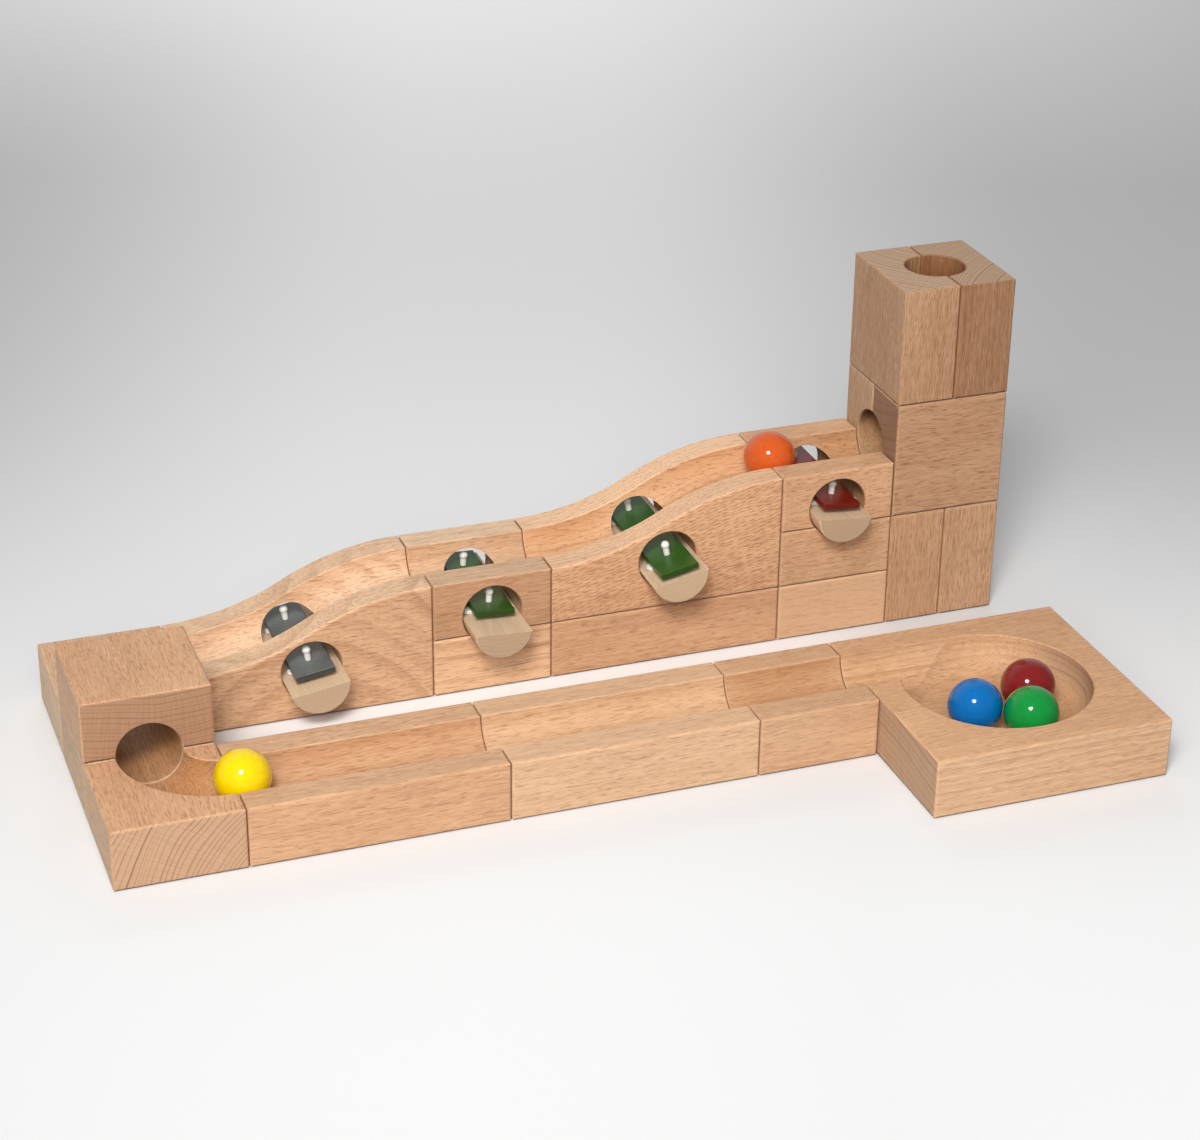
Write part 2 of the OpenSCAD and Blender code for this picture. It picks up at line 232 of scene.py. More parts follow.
# how the figure of the wood is laid out; most triples are a noise's fineness along and across the grain
figureSet = {
    "sway": (0.011, 0.026, 0.026), "swayWidth": (0.0, 6.0, 6.0), "endFacing": (0.72, 0.95),
    "wander": 0.11, "wanderWidth": 9.0,
    "lateRise": (0.25, 0.93), "lateFall": (0.94, 1.0), "thinRise": (0.74, 0.90), "thinFall": (0.92, 1.0),
    "weakestRing": 0.3, "ringFade": (0.88, 0.99), "fadedRing": 0.2,
    "coarse": (0.022, 0.5, 0.5), "fine": (0.13, 1.6, 1.6), "cloud": (0.010, 0.035, 0.035),
    "thread": (0.03, 0.85, 0.85), "threadSpan": (0.60, 0.70),
    "pore": (0.15, 1.45, 1.45), "poreSpan": (0.60, 0.67),
    "rayDepth": 0.05, "raySpread": 0.65, "dash": (0.66, 2.3, 0.3), "dashSpan": (0.18, 0.36),
    "shareFrom": 0.85, "shareTo": 1.15, "rayFacing": (0.35, 0.85), "quarteredRay": 0.12, "rayStart": 4.0,
    "coarseDepth": 0.09, "cloudDepth": 0.13, "fineDepth": 0.23, "heartWidth": 30.0, "darkest": 1.4,
    "endPore": (0.3, 3.0, 3.0), "endPoreDepth": 0.12, "spokes": 1.1, "spokeDepth": (-0.10, 0.12),
    "endRing": 0.10,
    "rough": (0.46, 0.58), "endRough": 0.12, "fineRelief": 0.6, "rayRelief": 0.5, "ringRelief": 0.25,
}
grainInputs = {
    "Ring gap": 4.0, "Ring depth": 0.4, "Arch": 0.0, "Arch place": 0.0, "Round": 80.0,
    "Fleck depth": 0.5, "Fleck length": 5.5, "Fleck width": 1.8, "Fleck turn": 0.0, "Fleck share": 0.7,
    "Streak depth": 0.2, "Pore depth": 0.5, "Tone": 0.3, "Blush": 0.0, "End tone": 0.25,
    "End line": 0.5, "Heart": 0.0, "Fleck from": -1000.0, "Shade": 1.0,
}


# growth rings: slow darkening, then a thin late line, each ring of its own width and strength
def makeRings(group, given, along, radius, flat):
    fromArch = doMath(group, "SUBTRACT", along, given["Arch place"])
    arched = doMath(group, "MULTIPLY_ADD", times(group, fromArch, fromArch), given["Arch"], radius)
    wanderPlace = combine(group, times(group, arched, figureSet["wander"]), 0.0, 0.0)
    wander = makeNoise(group, wanderPlace, detail=1.0)
    wandered = doMath(group, "MULTIPLY_ADD", wander, figureSet["wanderWidth"], arched)
    ringPlace = doMath(group, "DIVIDE", wandered, given["Ring gap"])
    inRing = doMath(group, "FRACT", ringPlace)
    late = makeHump(group, inRing, figureSet["lateRise"], figureSet["lateFall"])
    thin = makeHump(group, inRing, figureSet["thinRise"], figureSet["thinFall"])
    hard = group.nodes.new("ShaderNodeTexWhiteNoise")
    hard.noise_dimensions = "1D"
    wire(group, hard.inputs["W"], doMath(group, "FLOOR", ringPlace))
    power = makeRange(group, hard.outputs["Value"], 0.0, 1.0, figureSet["weakestRing"], 1.0)
    faded = makeRange(group, flat, *figureSet["ringFade"], 1.0, figureSet["fadedRing"])
    ring = times(group, late, times(group, power, faded))
    return ring, times(group, thin, power)


# medullary rays: short dashes on faces along the rings, almost nothing on quartered faces
def makeRays(group, given, along, around, radius, flat, fromHeart):
    cosTurn = doMath(group, "COSINE", given["Fleck turn"])
    sinTurn = doMath(group, "SINE", given["Fleck turn"])
    turnedAlong = addUp(group, times(group, along, cosTurn), times(group, around, sinTurn))
    turnedAround = doMath(group, "SUBTRACT", times(group, around, cosTurn), times(group, along, sinTurn))
    rayAlong = doMath(group, "DIVIDE", turnedAlong, given["Fleck length"])
    rayAround = doMath(group, "DIVIDE", turnedAround, given["Fleck width"])
    rayPlace = combine(group, rayAlong, rayAround, times(group, radius, figureSet["rayDepth"]))
    rays = group.nodes.new("ShaderNodeTexVoronoi")
    rays.inputs["Scale"].default_value = 1.0
    rays.inputs["Randomness"].default_value = figureSet["raySpread"]
    wire(group, rays.inputs["Vector"], rayPlace)
    reach = doVector(group, "SUBTRACT", rayPlace, rays.outputs["Position"])
    reach = doVector(group, "LENGTH", doVector(group, "MULTIPLY", reach, figureSet["dash"]))
    dash = makeRange(group, reach, *figureSet["dashSpan"], 1.0, 0.0, smooth=True)
    lot = group.nodes.new("ShaderNodeSeparateColor")
    wire(group, lot.inputs[0], rays.outputs["Color"])
    shareFrom = doMath(group, "SUBTRACT", figureSet["shareFrom"], given["Fleck share"])
    shareTo = doMath(group, "SUBTRACT", figureSet["shareTo"], given["Fleck share"])
    kept = makeRange(group, lot.outputs[0], shareFrom, shareTo)
    shown = makeRange(group, flat, *figureSet["rayFacing"], figureSet["quarteredRay"], 1.0, smooth=True)
    pastStart = doMath(group, "SUBTRACT", fromHeart, given["Fleck from"])
    started = makeRange(group, pastStart, -figureSet["rayStart"], figureSet["rayStart"])
    return times(group, dash, kept, shown, started)


# side grain: long fibres, coarse and fine, slow clouds, sparse dark streaks, pores and rays
def makeSideColor(group, given, place, swayed, fine, ring, ray, fromHeart):
    coarse = makeFibres(group, swayed, figureSet["coarse"], detail=3.0, rough=0.6)
    cloud = makeFibres(group, place, figureSet["cloud"], detail=2.0, rough=0.5)
    thread = makeFibres(group, swayed, figureSet["thread"], detail=2.0, rough=0.55)
    pit = makeFibres(group, swayed, figureSet["pore"], detail=1.0, rough=0.5)
    streak = makeRange(group, thread, *figureSet["threadSpan"], smooth=True)
    pore = makeRange(group, pit, *figureSet["poreSpan"], smooth=True)
    shade = addUp(
        group, given["Tone"],
        fromNoise(group, coarse, -figureSet["coarseDepth"], figureSet["coarseDepth"]),
        fromNoise(group, cloud, -figureSet["cloudDepth"], figureSet["cloudDepth"]),
        fromNoise(group, fine, -figureSet["fineDepth"], figureSet["fineDepth"]),
        times(group, ring, given["Ring depth"]),
        times(group, doMath(group, "DIVIDE", fromHeart, figureSet["heartWidth"]), given["Heart"]))
    shade = doMath(group, "MINIMUM", doMath(group, "MAXIMUM", shade, 0.0), figureSet["darkest"])
    color = mixColor(group, shade, grainSet["pale"], grainSet["deep"], clamp=False)
    for mark, depth in ((streak, "Streak depth"), (pore, "Pore depth"), (ray, "Fleck depth")):
        color = mixColor(group, times(group, mark, given[depth]), color, grainSet["line"])
    return color


# end grain: ring lines crossed by faint rays
def makeEndColor(group, given, swayed, around, radius, ring, ringLine):
    pores = makeFibres(group, swayed, figureSet["endPore"], detail=2.0, rough=0.7)
    spokeTurn = times(group, around, figureSet["spokes"])
    spokePlace = combine(group, spokeTurn, times(group, radius, figureSet["rayDepth"]), 0.0)
    spokes = makeNoise(group, spokePlace, detail=2.0, rough=0.6)
    shade = addUp(
        group, given["End tone"],
        times(group, ring, figureSet["endRing"]),
        times(group, ringLine, given["End line"]),
        fromNoise(group, pores, -figureSet["endPoreDepth"], figureSet["endPoreDepth"]),
        fromNoise(group, spokes, *figureSet["spokeDepth"]))
    shade = doMath(group, "ADD", shade, 0.0, clamp=True)
    return mixColor(group, shade, grainSet["endPale"], grainSet["endLine"])


def makeGrainGroup():
    group = bpy.data.node_groups.new("beechGrain", "ShaderNodeTree")
    sockets = group.interface
    for name in ("Place", "Facing"):
        sockets.new_socket(name, in_out="INPUT", socket_type="NodeSocketVector")
    for name, start in grainInputs.items():
        sockets.new_socket(name, in_out="INPUT", socket_type="NodeSocketFloat").default_value = start
    sockets.new_socket("Color", in_out="OUTPUT", socket_type="NodeSocketColor")
    for name in ("Roughness", "Height"):
        sockets.new_socket(name, in_out="OUTPUT", socket_type="NodeSocketFloat")
    given = group.nodes.new("NodeGroupInput").outputs
    place, facing = given["Place"], given["Facing"]

    # fibres sway a little along the log
    drift = makeFibres(group, place, figureSet["sway"], detail=2.0, rough=0.5, output="Color")
    drift = doVector(group, "SUBTRACT", drift, (0.5, 0.5, 0.5))
    swayed = doVector(group, "MULTIPLY_ADD", drift, figureSet["swayWidth"], place)
    along, side, height = split(group, swayed)
    outward = combine(group, 0.0, side, height)
    radius = doVector(group, "LENGTH", outward)
    fromHeart = doMath(group, "SUBTRACT", radius, given["Round"])
    around = times(group, doMath(group, "ARCTAN2", height, side), given["Round"])

    # flat is 1 on faces along the rings, end is 1 on sawn ends
    flat = doVector(group, "DOT_PRODUCT", facing, doVector(group, "NORMALIZE", outward))
    flat = doMath(group, "ABSOLUTE", flat)
    end = doMath(group, "ABSOLUTE", split(group, facing)[0])
    end = makeRange(group, end, *figureSet["endFacing"], smooth=True)

    fine = makeFibres(group, swayed, figureSet["fine"], detail=2.0, rough=0.6)
    ring, ringLine = makeRings(group, given, along, radius, flat)
    ray = makeRays(group, given, along, around, radius, flat, fromHeart)
    sideColor = makeSideColor(group, given, place, swayed, fine, ring, ray, fromHeart)
    endColor = makeEndColor(group, given, swayed, around, radius, ring, ringLine)
    color = mixColor(group, end, sideColor, endColor)
    color = mixColor(group, given["Blush"], color, grainSet["blush"], "MULTIPLY", clamp=False)
    rough = fromNoise(group, fine, *figureSet["rough"])
    relief = times(group, fine, figureSet["fineRelief"])
    relief = doMath(group, "SUBTRACT", relief, times(group, ray, figureSet["rayRelief"]))
    relief = doMath(group, "SUBTRACT", relief, times(group, ring, figureSet["ringRelief"]))
    results = group.nodes.new("NodeGroupOutput").inputs
    wire(group, results["Color"], scaleVector(group, color, given["Shade"]))
    wire(group, results["Roughness"], addUp(group, rough, times(group, end, figureSet["endRough"])))
    wire(group, results["Height"], relief)
    return group


grainGroup = makeGrainGroup()
print("grain group built")

# one cut of beech per block: grain direction, pith from the block's middle (the two directions across
# the grain, in mm), figure, colour, and how strong the painted shade in grooves (a painted sheen below zero)
# and the painted sheen on rims and some left sides are
cutSet = {
    "front_corner": {
        "along": "y", "pith": (75, -45), "gap": 2.5, "ring": 0.1, "fleck": 0.7, "length": 5.0,
        "width": 1.7, "share": 0.5, "tone": 0.36, "blush": 0.55, "endTone": 0.25, "endLine": 1.0,
        "hollowShade": 2.0, "left": 1.0,
    },
    "front_gutter_a": {
        "along": "x", "pith": (20, 120), "gap": 5.2, "ring": 0.15, "streak": 0.32, "fleck": 0.2,
        "length": 6.0, "width": 1.8, "tone": 0.41, "blush": 0.5, "rim": 0.3,
    },
    "front_gutter_b": {
        "along": "x", "pith": (95, -50), "gap": 6.0, "ring": 0.15, "streak": 0.1, "pore": 0.4,
        "fleck": 0.2, "length": 5.0, "width": 1.8, "tone": 0.11, "blush": -0.1, "hollowShade": 0.35,
    },
    "front_gutter_short": {
        "along": "x", "pith": (30, -110), "gap": 4.0, "ring": 0.09, "streak": 0.12, "pore": 0.35,
        "fleck": 0.2, "length": 4.0, "width": 1.5, "tone": 0.33, "blush": 0.2, "hollowShade": 1.4,
    },
    "catch_basin": {
        "along": "x", "pith": (20, -400), "gap": 3.6, "ring": 0.38, "streak": 0.15, "pore": 0.35,
        "fleck": 0.3, "length": 6.0, "width": 2.2, "tone": 0.22, "blush": -0.05, "shade": 1.05,
        "endTone": 0.45, "endLine": 0.6, "hollowShade": 0.9, "rim": -0.5,
    },
    "tunnel_floor": {
        "along": "y", "pith": (40, 60), "gap": 4.4, "ring": 0.24, "fleck": 0.4, "length": 4.0,
        "tone": 0.3, "shade": 0.95, "hollowShade": 2.5, "left": 1.0,
    },
    "tunnel_cap": {
        "along": "y", "pith": (8, 150), "gap": 2.4, "ring": 0.21, "fleck": 0.4, "length": 4.5,
        "width": 1.6, "tone": 0.32, "blush": 0.65, "endTone": 0.67, "endLine": 0.6, "hollowShade": 2.5,
        "left": 0.6,
    },
    "rear_corner": {
        "along": "y", "pith": (-60, 80), "gap": 4.2, "ring": 0.17, "fleck": 0.4, "length": 4.0,
        "tone": 0.16, "left": 1.0,
    },
    "low_ramp": {
        "along": "x", "pith": (50, -75), "gap": 11.0, "ring": 0.42, "arch": 0.0075, "heart": 0.12,
        "streak": 0.3, "fleck": 0.4, "length": 4.0, "width": 1.5, "turn": 3, "tone": 0.09,
        "blush": 0.35, "shade": 1.04, "hollowShade": -1.1, "rim": 0.8,
    },
    "low_flat": {
        "along": "x", "pith": (90, 20), "gap": 4.6, "ring": 0.17, "heart": 0.3, "streak": 0.1,
        "fleck": 0.2, "length": 5.0, "tone": 0.35, "blush": 0.25, "hollowShade": 0.4, "rim": 1.15,
    },
    "low_base": {
        "along": "x", "pith": (-30, -80), "gap": 6.5, "ring": 0.6, "streak": 0.7, "fleck": 0.15,
        "length": 4.0, "tone": 0.08, "blush": 0.25, "shade": 1.14,
    },
    "high_ramp": {
        "along": "x", "pith": (100, 12), "gap": 2.2, "ring": 0.35, "heart": 0.14, "fleck": 0.75,
        "length": 4.4, "width": 1.5, "turn": -14, "share": 0.95, "from": 8, "tone": 0.17, "blush": 0.6,
        "shade": 1.12, "hollowShade": 1.35, "rim": 0.7,
    },
    "long_base": {
        "along": "x", "pith": (10, -120), "gap": 4.6, "ring": 0.14, "streak": 0.15, "fleck": 0.26,
        "length": 3.6, "width": 1.4, "tone": 0.31, "blush": 0.8,
    },
    "high_flat": {
        "along": "x", "pith": (-80, -20), "gap": 5.2, "ring": 0.14, "fleck": 0.55, "length": 2.6,
        "width": 3.4, "share": 0.45, "tone": 0.25, "blush": 0.6, "hollowShade": 2.0,
    },
    "upper_base": {
        "along": "x", "pith": (60, 40), "gap": 24.0, "ring": 0.3, "arch": 0.006, "archAt": -60,
        "streak": 0.1, "fleck": 0.25, "length": 3.0, "tone": 0.25, "blush": 0.45,
    },
    "lower_base": {
        "along": "x", "pith": (-80, 30), "gap": 6.4, "ring": 0.14, "streak": 0.15, "pore": 0.2,
        "fleck": 0.15, "length": 5.0, "width": 1.8, "tone": 0.01, "blush": 0.4,
    },
    "tower_foot_left": {
        "along": "z", "pith": (30, 90), "gap": 4.6, "ring": 0.21, "streak": 0.3, "fleck": 0.45,
        "length": 5.0, "width": 1.5, "tone": 0.6, "blush": 0.35,
    },
    "tower_foot_right": {
        "along": "z", "pith": (-30, 90), "gap": 4.4, "ring": 0.17, "streak": 0.2, "fleck": 0.55,
        "length": 5.0, "width": 1.5, "tone": 0.56,
    },
    "drop_front": {
        "along": "x", "pith": (20, 110), "gap": 4.8, "ring": 0.12, "streak": 0.3, "pore": 0.7,
        "fleck": 0.75, "length": 6.0, "width": 1.9, "share": 0.5, "tone": 0.43, "blush": 0.45,
        "shade": 0.85, "endTone": 0.85, "endLine": 0.7, "hollowShade": 2.1,
    },
    "drop_rear": {
        "along": "z", "pith": (60, 80), "gap": 4.4, "ring": 0.17, "fleck": 0.3, "length": 4.0,
        "tone": 0.57, "blush": -0.8, "hollowShade": 2.4,
    },
    "tube_left": {
        "along": "z", "pith": (68, 58), "gap": 2.6, "ring": 0.09, "pore": 0.6, "fleck": 0.75,
        "length": 5.0, "width": 1.25, "turn": 4, "share": 0.85, "tone": 0.78, "blush": -0.4,
        "endTone": 0.23, "endLine": 1.2, "hollowShade": 2.0, "left": 0.4,
    },
    "tube_right": {
        "along": "z", "pith": (55, -75), "gap": 1.7, "ring": 0.21, "pore": 0.7, "fleck": 0.55,
        "length": 5.6, "width": 2.0, "turn": 3, "tone": 1.01, "blush": -0.15, "shade": 0.84,
        "endTone": 0.08, "endLine": 1.3, "hollowShade": 2.2,
    },
}
cutBase = {"turn": 0, "shade": 1.0, "hollowShade": 0.7, "rim": 0.0, "left": 0.0}
cutWords = {
    "gap": "Ring gap", "ring": "Ring depth", "arch": "Arch", "fleck": "Fleck depth",
    "length": "Fleck length", "width": "Fleck width", "share": "Fleck share", "streak": "Streak depth",
    "pore": "Pore depth", "tone": "Tone", "blush": "Blush", "endTone": "End tone",
    "endLine": "End line", "heart": "Heart", "archAt": "Arch place", "from": "Fleck from",
}
# where the painted shade (downward faces, grooves, holes) and the painted sheen (rims, left sides) fall,
# then bump and gloss
beechSet = {
    "underFacing": (-0.6, -0.05), "underShade": 0.3, "rimFacing": (0.5, 0.8), "leftFacing": (-0.8, -0.95),
    "shelterReach": 0.03, "shelterSamples": 4, "hollowSpan": (0.92, 0.62), "boreSpan": (0.45, 0.2),
    "bump": (0.25, 0.00012), "gloss": 0.3,
}


# where the log stands: its middle line and its turn, with the block straight out from the pith
def logFrame(along, pith, middle):
    first, second = pith
    heart = Vector(middle)
    if along == "x":
        heart += Vector((0, first, second)) * millimetre
        return heart, (math.atan2(-second, -first), 0, 0)
    if along == "y":
        heart += Vector((first, 0, second)) * millimetre
        return heart, (math.atan2(-second, first), 0, math.pi / 2)
    heart += Vector((first, second, 0)) * millimetre
    return heart, (math.atan2(first, -second), -math.pi / 2, 0)


def makeBeech(name, cut, middle):
    material, tree, shader, given = newMaterial("beech_" + name)
    heart, turn = logFrame(cut["along"], cut["pith"], middle)
    grain = tree.nodes.new("ShaderNodeGroup")
    grain.node_tree = grainGroup
    wire(tree, grain.inputs["Place"], seenFrom(tree, given["Object"], turn, heart, millimetre))
    wire(tree, grain.inputs["Facing"], seenFrom(tree, given["Normal"], turn))
    grain.inputs["Round"].default_value = math.hypot(*cut["pith"])
    grain.inputs["Fleck turn"].default_value = math.radians(cut["turn"])
    for word, socket in cutWords.items():
        if word in cut:
            grain.inputs[socket].default_value = cut[word]

    # painted shade: faces that look down, such as the upper side of a bore, are darkened
    facingX, _, facingZ = split(tree, given["Normal"])
    under = makeRange(tree, facingZ, *beechSet["underFacing"], beechSet["underShade"], 1.0)
    wire(tree, grain.inputs["Shade"], times(tree, under, cut["shade"]))

    # painted shade darkens and warms grooves, bowls and holes (a painted sheen where the amount is below
    # zero); painted sheen pales the rims beside them and some left sides
    shelter = tree.nodes.new("ShaderNodeAmbientOcclusion")
    shelter.samples = beechSet["shelterSamples"]
    shelter.only_local = True
    shelter.inputs["Distance"].default_value = beechSet["shelterReach"]
    hollowShade = makeRange(tree, shelter.outputs["AO"], *beechSet["hollowSpan"])
    # painted shade: the deepest holes are darkened further
    boreShade = makeRange(tree, shelter.outputs["AO"], *beechSet["boreSpan"])
    # painted sheen: upward rims and left sides outside a groove are painted paler, darker where the amount
    # is below zero
    rim = times(tree, makeRange(tree, facingZ, *beechSet["rimFacing"]), cut["rim"])
    left = times(tree, makeRange(tree, facingX, *beechSet["leftFacing"]), cut["left"])
    paintedSheen = times(tree, addUp(tree, rim, left), doMath(tree, "SUBTRACT", 1.0, hollowShade))
    groovePaintedShade = times(tree, hollowShade, cut["hollowShade"])
    color = mixColor(tree, groovePaintedShade, grain.outputs["Color"], grainSet["hollowShade"], "MULTIPLY", clamp=False)
    color = mixColor(tree, paintedSheen, color, grainSet["rim"], "MULTIPLY", clamp=False)
    wire(tree, shader.inputs["Base Color"], mixColor(tree, boreShade, color, grainSet["boreShade"], "MULTIPLY"))
    wire(tree, shader.inputs["Roughness"], grain.outputs["Roughness"])
    makeBump(tree, shader, grain.outputs["Height"], *beechSet["bump"])
    shader.inputs["Specular IOR Level"].default_value = beechSet["gloss"]
    return material


for name, cut in cutSet.items():
    low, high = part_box(name)
    dress(nodes[name], makeBeech(name, {**cutBase, **cut}, (low + high) / 2))
print("blocks dressed in beech,", len(cutSet))

# chime inserts: plate paint, dowel wood and felt length; hole axis (x, z) and pins in mm, the pins
# counted from the rear face of the back row
chimeSet = {
    "low_ramp": {
        "paint": (0.128, 0.138, 0.13, 1), "paintedEndShade": 0.4, "tilt": 9, "hole": (-120, 25),
        "pins": (10.5, 54.5), "pith": (-140, 10), "gap": 1.1, "line": 0.55, "end": 0.5, "felt": 0.0225,
    },
    "low_flat": {
        "paint": (0.03, 0.092, 0.008, 1), "paintedEndShade": 0.6, "tilt": -3, "hole": (-30, 40),
        "pins": (11.0, 52.5), "pith": (-12, -120), "gap": 2.0, "line": 0.45, "end": 0.7, "felt": 0.026,
    },
    "high_ramp": {
        "paint": (0.028, 0.098, 0.01, 1), "paintedEndShade": 0.68, "tilt": 12, "hole": (60, 55),
        "pins": (6.5, 60.0), "pith": (30, -90), "gap": 1.4, "line": 0.25, "end": 0.4, "felt": 0.0235,
    },
    "high_flat": {
        "paint": (0.205, 0.013, 0.005, 1), "paintedEndShade": 0.62, "tilt": -5, "hole": (150, 70),
        "pins": (4.0, 50.5), "pith": (-10, -140), "gap": 1.7, "line": 0.4, "end": 0.85, "felt": 0.029,
    },
}
dowelSet = {
    "pale": (0.76, 0.57, 0.37, 1), "deep": (0.64, 0.445, 0.275, 1), "line": (0.46, 0.31, 0.20, 1),
    "wander": (0.01, 0.06, 0.06), "wanderWidth": 6.0,
    "lineRise": (0.45, 0.85), "lineFall": (0.93, 1.0), "lineFacing": (0.5, 1.0), "sideLine": 0.2,
    "fibre": (0.06, 1.4, 1.4), "endFacing": (0.7, 0.95),
    "rough": (0.52, 0.66), "bump": (0.25, 0.0001), "gloss": 0.3,
}


def makeDowelWood(name, chime, middle):
    material, tree, shader, given = newMaterial("dowelWood_" + name)
    heart, turn = logFrame("y", chime["pith"], middle)
    place = seenFrom(tree, given["Object"], turn, heart, millimetre)
    radius = doVector(tree, "LENGTH", doVector(tree, "MULTIPLY", place, (0, 1, 1)))
    wander = makeFibres(tree, place, dowelSet["wander"], detail=1.0, rough=0.5)
    wandered = doMath(tree, "MULTIPLY_ADD", wander, dowelSet["wanderWidth"], radius)
    inRing = doMath(tree, "FRACT", doMath(tree, "DIVIDE", wandered, chime["gap"]))
    line = makeHump(tree, inRing, dowelSet["lineRise"], dowelSet["lineFall"])
    fibre = makeFibres(tree, place, dowelSet["fibre"], detail=3.0, rough=0.65)
    facing = doMath(tree, "ABSOLUTE", doVector(tree, "DOT_PRODUCT", given["Normal"], (0, 1, 0)))
    color = mixColor(tree, fromNoise(tree, fibre), dowelSet["pale"], dowelSet["deep"])
    depth = makeRange(tree, facing, *dowelSet["lineFacing"], dowelSet["sideLine"], chime["line"])
    color = mixColor(tree, times(tree, line, depth), color, dowelSet["line"])
    end = makeRange(tree, facing, *dowelSet["endFacing"], 0.0, chime["end"], smooth=True)
    wire(tree, shader.inputs["Base Color"], mixColor(tree, end, color, dowelSet["line"]))
    wire(tree, shader.inputs["Roughness"], fromNoise(tree, fibre, *dowelSet["rough"]))
    makeBump(tree, shader, fibre, *dowelSet["bump"])
    shader.inputs["Specular IOR Level"].default_value = dowelSet["gloss"]
    return material


plateSet = {
    "mist": 900.0, "patch": 90.0, "lighter": 1.16, "lift": 0.003, "darker": 0.88, "endFacing": (0.6, 0.95),
    "rough": (0.26, 0.38), "bump": (0.12, 0.00008), "gloss": 0.5,
}


def makePlatePaint(name, chime):
    material, tree, shader, given = newMaterial("platePaint_" + name)
    mist = makeNoise(tree, given["Object"], plateSet["mist"], detail=3.0, rough=0.6)
    patch = makeNoise(tree, given["Object"], plateSet["patch"], detail=2.0, rough=0.5)
    paint = chime["paint"][:3]
    lighter = tuple(min(1, c * plateSet["lighter"] + plateSet["lift"]) for c in paint) + (1,)
    darker = tuple(c * plateSet["darker"] for c in paint) + (1,)
    # painted shade: the plates' front and rear ends are painted darker
    paintedEndShade = tuple(c * chime["paintedEndShade"] for c in paint) + (1,)
    color = mixColor(tree, fromNoise(tree, patch), darker, lighter)
    end = makeRange(tree, doMath(tree, "ABSOLUTE", split(tree, given["Normal"])[1]), *plateSet["endFacing"])
    wire(tree, shader.inputs["Base Color"], mixColor(tree, end, color, paintedEndShade))
    wire(tree, shader.inputs["Roughness"], fromNoise(tree, mist, *plateSet["rough"]))
    makeBump(tree, shader, mist, *plateSet["bump"])
    shader.inputs["Specular IOR Level"].default_value = plateSet["gloss"]
    return material


pinSet = {
    "pale": (0.86, 0.84, 0.77, 1), "dull": (0.74, 0.71, 0.62, 1), "speck": 700.0, "speckSpan": (0.45, 0.75),
    "rough": (0.30, 0.42), "bump": (0.15, 0.00005),
}


def makePinPaint():
    material, tree, shader, given = newMaterial("pinPaint")
    speck = makeNoise(tree, given["Object"], pinSet["speck"], detail=3.0, rough=0.6)
    color = mixColor(tree, makeRange(tree, speck, *pinSet["speckSpan"]), pinSet["pale"], pinSet["dull"])
    wire(tree, shader.inputs["Base Color"], color)
    wire(tree, shader.inputs["Roughness"], fromNoise(tree, speck, *pinSet["rough"]))
    makeBump(tree, shader, speck, *pinSet["bump"])
    return material


pinPaint = makePinPaint()
for name, chime in chimeSet.items():
    low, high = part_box(name + "_dowel")
    dress(nodes[name + "_dowel"], makeDowelWood(name, chime, (low + high) / 2))
    dress(nodes[name + "_plate"], makePlatePaint(name, chime))
    dress(nodes[name + "_pins"], pinPaint)
print("chimes dressed,", len(chimeSet))

# felt strips under the plates, two on each chime, sizes in metres; capitals mark inputs of the tree
feltSet = {
    "Width": 0.005, "Thickness": 0.0026, "Hole": 0.0034, "Base": -0.0017, "Nap": 0.00022,
    "Fibre length": 0.0006, "Fibre count": 1400000.0, "Seed": 5,
    "aroundSteps": 120, "sectionSteps": 20, "roundness": 0.55, "endSteps": 12, "endRound": 0.499,
    "weld": 0.000001, "napGrain": 900.0, "sideFacing": 0.5,
    "fibreSides": 3, "fibreRadius": 0.000025, "lean": 1.1, "spin": 6.2, "rearFace": 0.11015,
}
clothSet = {
    "pale": (0.84, 0.82, 0.76, 1), "dull": (0.66, 0.63, 0.56, 1),
    "clump": 900.0, "clumpSpan": (0.35, 0.75), "hair": (3000.0, 900.0, 5000.0),
    "rough": (0.85, 1.0), "bump": (0.5, 0.0002), "sheen": 0.4, "sheenRough": 0.6, "gloss": 0.1,
}


def makeFeltCloth():
    material, tree, shader, given = newMaterial("feltCloth")
    clump = makeNoise(tree, given["Object"], clothSet["clump"], detail=4.0, rough=0.65)
    hair = makeFibres(tree, given["Object"], clothSet["hair"], detail=3.0, rough=0.6)
    worn = makeRange(tree, clump, *clothSet["clumpSpan"])
    color = mixColor(tree, worn, clothSet["pale"], clothSet["dull"])
    wire(tree, shader.inputs["Base Color"], color)
    wire(tree, shader.inputs["Roughness"], fromNoise(tree, hair, *clothSet["rough"]))
    makeBump(tree, shader, addUp(tree, clump, hair), *clothSet["bump"])
    shader.inputs["Sheen Weight"].default_value = clothSet["sheen"]
    shader.inputs["Sheen Roughness"].default_value = clothSet["sheenRough"]
    shader.inputs["Specular IOR Level"].default_value = clothSet["gloss"]
    return material


def addNode(tree, kind, **values):
    node = tree.nodes.new(kind)
    for name, value in values.items():
        wire(tree, node.inputs[name.replace("_", " ")], value)
    return node


# a sine or cosine with fuller shoulders, for a section between a circle and a square
def fullWave(tree, kind, angle):
    wave = doMath(tree, kind, angle)
    size = doMath(tree, "POWER", doMath(tree, "ABSOLUTE", wave), feltSet["roundness"])
    return times(tree, doMath(tree, "SIGN", wave), size)


